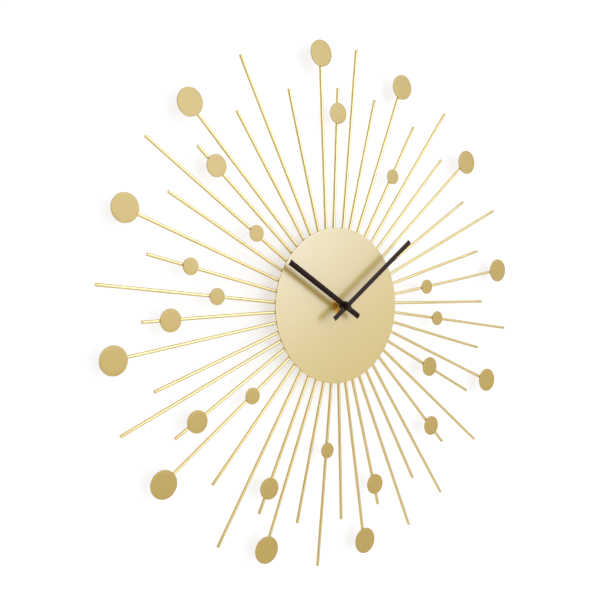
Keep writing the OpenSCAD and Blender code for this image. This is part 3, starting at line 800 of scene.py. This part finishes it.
def hand_bush_profile():
    """The hour hand's rivet bush: a flange behind the hand and a neck peened over its front."""
    back, flange, front = hand_bush.back, hand_bush.back + 1.0 * MM, hand_bush.front
    r, neck, hole = hand_bush.radius, 3.3 * MM, 2.51 * MM
    return rounded(
        [(hole, back), (r, back), (r, flange), (neck, flange), (neck, front), (hole, front)],
        [0.1 * MM, 0.15 * MM, 0.1 * MM, 0, 0.3 * MM, 0.1 * MM],
    )


piece(
    "hour_rivet_bush", [turned(hand_bush_profile(), steps=72)], "hour_arbor",
    hand_lacquer, ["hour_hand_bush"],
)


# ---- what shows from behind ------------------------------------------------------------


def cell_sleeve_shell():
    """The cell in its shrunk sleeve, turned round its own length: z = radius cos a and height =
    radius sin a about its middle. The profile is straight and draws in over both shoulders by
    a quarter circle, to a narrow rim that stands over the slightly sunken end."""
    radius, half = cell.z[1], cell.x[1]
    shoulder, rim, sink, hair = 0.7 * MM, 1.1 * MM, 0.25 * MM, 0.02 * MM
    a = np.linspace(0, math.pi / 2, 7)
    turn = np.stack([radius - shoulder * (1 - np.cos(a)), half - shoulder * (1 - np.sin(a))], -1)
    inside = radius - shoulder - rim
    sunk = [(inside, half), (inside - 0.15 * MM, half - sink), (hair, half - sink)]
    end = np.concatenate([turn, sunk])
    r, run = np.concatenate([end, end[::-1] * (1, -1)]).T
    angle = np.linspace(0, TURN, 72, endpoint=False)[:, None]
    middle = (cell.back + cell.front) / 2
    points = upright(cell.x[0] + run, cell.z[0] + r * np.cos(angle), middle + r * np.sin(angle))
    return points.reshape(-1, 3), grid_faces(72, len(r), True, True)


def knurled_knob():
    """The setting knob: a dished head whose rim is knurled. The radius there is r - depth w
    (1 - cos(ribs a)) / 2, with w growing from 0 at both edges."""
    ribs, depth, r, back, front = 36, 0.5 * MM, knob.radius, knob.back, knob.front
    angle = np.linspace(0, TURN, ribs * 8, endpoint=False)[:, None]
    hair, dish = 0.02 * MM, 0.35 * MM
    radius, height, share = np.array([
        (hair, back + dish, 0), (r - 3.0 * MM, back + dish, 0), (r - 2.6 * MM, back, 0),
        (r - 0.7 * MM, back, 0), (r - 0.25 * MM, back + 0.1 * MM, 0.6), (r, back + 0.4 * MM, 1),
        (r, front - 0.3 * MM, 1), (r - 0.3 * MM, front, 0.6), (hair, front, 0),
    ]).T
    radius = radius - depth * share * (1 - np.cos(ribs * angle)) / 2
    x, z = knob.at
    points = upright(x + radius * np.cos(angle), z + radius * np.sin(angle), height)
    return points.reshape(-1, 3), grid_faces(len(angle), len(height), True, True)


def eased_copy(name, node, material, width):
    """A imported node's own shape with its sharp edges eased by a small bevel."""
    work = bmesh.new()
    work.from_mesh(frame["nodes"][node].data)
    bmesh.ops.remove_doubles(work, verts=work.verts, dist=1e-7)
    flat = math.radians(0.5)
    bmesh.ops.dissolve_limit(work, angle_limit=flat, verts=work.verts, edges=work.edges)
    mesh = bpy.data.meshes.new(name)
    work.to_mesh(mesh)
    work.free()
    mesh.materials.clear()
    made = fitted(mesh, name, "frame", material, [node], 35)
    bevel = made.modifiers.new("eased_edges", "BEVEL")
    bevel.width, bevel.segments = width, 2
    bevel.limit_method, bevel.angle_limit = "ANGLE", math.radians(40)
    bevel.use_clamp_overlap = True


piece(
    "sleeved_cell", [cell_sleeve_shell()], "frame", cell_sleeve, ["battery_cell"],
)
piece(
    "knurled_setting_knob", [knurled_knob()], "motion_arbor", knob_plastic,
    ["setting_knob"],
)
eased_copy("moulded_case_front", "case_front", case_plastic, 0.2 * MM)
eased_copy("moulded_case_cover", "case_back", case_plastic, 0.12 * MM)
eased_copy("pressed_wall_hanger", "wall_hanger", zinc_plate, 0.15 * MM)


# ---- wall, floor, lights and camera ----------------------------------------------------


WALL_Y = 0.4 * MM
WALL_GLOW = 0.51
STAGE_HALF, FLOOR_Z, WALL_TOP = 4, -1.3, 2.5


def stage_material(name, colour, hidden_from_behind):
    """Plain matt paint. The wall lets the camera and the lamps behind it see through its
    back, so that the clock can be looked at from behind."""
    material = bpy.data.materials.new(name)
    material.use_nodes = True
    tree = material.node_tree
    shader = tree.nodes["Principled BSDF"]
    shader.inputs["Base Color"].default_value = (*colour, 1)
    shader.inputs["Roughness"].default_value = 0.9
    shader.inputs["Specular IOR Level"].default_value = 0.0
    shader.inputs["Emission Color"].default_value = (1, 1, 1, 1)
    shader.inputs["Emission Strength"].default_value = WALL_GLOW if hidden_from_behind else 0.0
    if hidden_from_behind:
        clear = tree.nodes.new("ShaderNodeBsdfTransparent")
        blend = tree.nodes.new("ShaderNodeMixShader")
        back = tree.nodes.new("ShaderNodeNewGeometry").outputs["Backfacing"]
        lamp = tree.nodes.new("ShaderNodeLightPath").outputs["Is Shadow Ray"]
        joined(
            tree,
            (math_node(tree, "MAXIMUM", back, lamp), blend.inputs[0]),
            (shader.outputs[0], blend.inputs[1]),
            (clear.outputs[0], blend.inputs[2]),
            (blend.outputs[0], tree.nodes["Material Output"].inputs["Surface"]),
        )
    return material


def stage_sheet(name, corners, material):
    """A flat rectangle of the stage, which isn't part of the clock."""
    mesh = bpy.data.meshes.new(name)
    mesh.from_pydata(corners, [], [(0, 1, 2, 3)])
    mesh.materials.append(material)
    sheet = bpy.data.objects.new(name, mesh)
    bpy.context.scene.collection.objects.link(sheet)
    return sheet


wall_paint = stage_material("wall_paint", (0.54, 0.55, 0.57), True)
floor_paint = stage_material("floor_paint", (0.85, 0.84, 0.82), False)
sides = [(-STAGE_HALF, 0), (STAGE_HALF, 0), (STAGE_HALF, 1), (-STAGE_HALF, 1)]
wall = stage_sheet(
    "wall", [(x, WALL_Y, WALL_TOP if up else FLOOR_Z) for x, up in sides], wall_paint,
)
floor = stage_sheet(
    "floor", [(x, STAGE_HALF if far else -STAGE_HALF, FLOOR_Z) for x, far in sides], floor_paint,
)


def toward(azimuth, elevation):
    """The direction at an azimuth and an elevation in degrees. Azimuth 0 is straight in front
    of the clock and positive to the right, seen from the room; 180 is behind the wall."""
    a, e = math.radians(azimuth), math.radians(elevation)
    return Vector((math.sin(a) * math.cos(e), -math.cos(a) * math.cos(e), math.sin(e)))


def panel(name, azimuth, elevation, distance, size, power, colour=(1, 1, 1), left_dark=()):
    """A soft round lamp that faces the clock and leaves the listed sheets of the stage unlit."""
    lamp = bpy.data.lights.new(name, "AREA")
    lamp.shape = "DISK"
    lamp.size = size
    lamp.energy = power
    lamp.color = colour
    held = bpy.data.objects.new(name, lamp)
    held.location = distance * toward(azimuth, elevation)
    held.rotation_euler = held.location.to_track_quat("Z", "Y").to_euler()
    held.visible_camera = False
    bpy.context.scene.collection.objects.link(held)
    if left_dark:
        unlit = bpy.data.collections.new(name + "_unlit")
        for sheet in left_dark:
            unlit.objects.link(sheet)
        for member in unlit.collection_objects:
            member.light_linking.link_state = "EXCLUDE"
        held.light_linking.receiver_collection = unlit


panel("key_panel", 25, 14, 2.2, 1.5, 29, (0.5, 0.67, 0.96), [wall, floor])
panel("front_panel", 10, 4, 2.4, 1.9, 8)
panel("rear_left", 150, 20, 2.0, 1.2, 12)
panel("rear_right", -150, 25, 2.0, 1.2, 12)

world = bpy.data.worlds.new("studio")
bpy.context.scene.world = world
world.use_nodes = True
studio = world.node_tree
sky = studio.nodes["Background"]
compass = studio.nodes.new("ShaderNodeSeparateXYZ")
joined(studio, (studio.nodes.new("ShaderNodeTexCoord").outputs["Generated"], compass.inputs[0]))


def eased(axis, start, end, low, high):
    """A smooth step of the direction's part along an axis, from low at start to high at end."""
    step = studio.nodes.new("ShaderNodeMapRange")
    step.interpolation_type = "SMOOTHSTEP"
    for label, value in {"From Min": start, "From Max": end, "To Min": low, "To Max": high}.items():
        step.inputs[label].default_value = value
    joined(studio, (compass.outputs[axis], step.inputs["Value"]))
    return step.outputs["Result"]


left_side, right_side = eased("X", -1.0, -0.1, 0.35, 1.0), eased("X", 0.6, 1.0, 1.0, 0.65)
open_side = math_node(studio, "MULTIPLY", left_side, right_side)
overhead = mixed(studio, eased("Z", -0.3, 0.2, 0.0, 1.0), (0.98, 0.92, 0.82), (1.12, 1.16, 1.24))
lighting = mixed(studio, 1.0, overhead, open_side, "MULTIPLY")
seen = studio.nodes.new("ShaderNodeLightPath").outputs["Is Camera Ray"]
joined(studio, (mixed(studio, seen, lighting, (1.0, 1.0, 1.0)), sky.inputs["Color"]))

camera = bpy.data.objects.new("camera", bpy.data.cameras.new("camera"))
bpy.context.scene.collection.objects.link(camera)
bpy.context.scene.camera = camera
camera.data.sensor_width = 36.0
camera.data.lens = 51.81
rods = Span("long_rods")
aim = Vector((-45.06 * MM, -(rods.back + rods.front) / 2, 6.15 * MM))
back = toward(-37.47, 1.57)
camera.location = aim + back * 807.15 * MM
camera.rotation_mode = "QUATERNION"
camera.rotation_quaternion = (-back).to_track_quat("-Z", "Y")
camera.data.clip_start = 0.01
bpy.context.scene.view_settings.view_transform = "Standard"
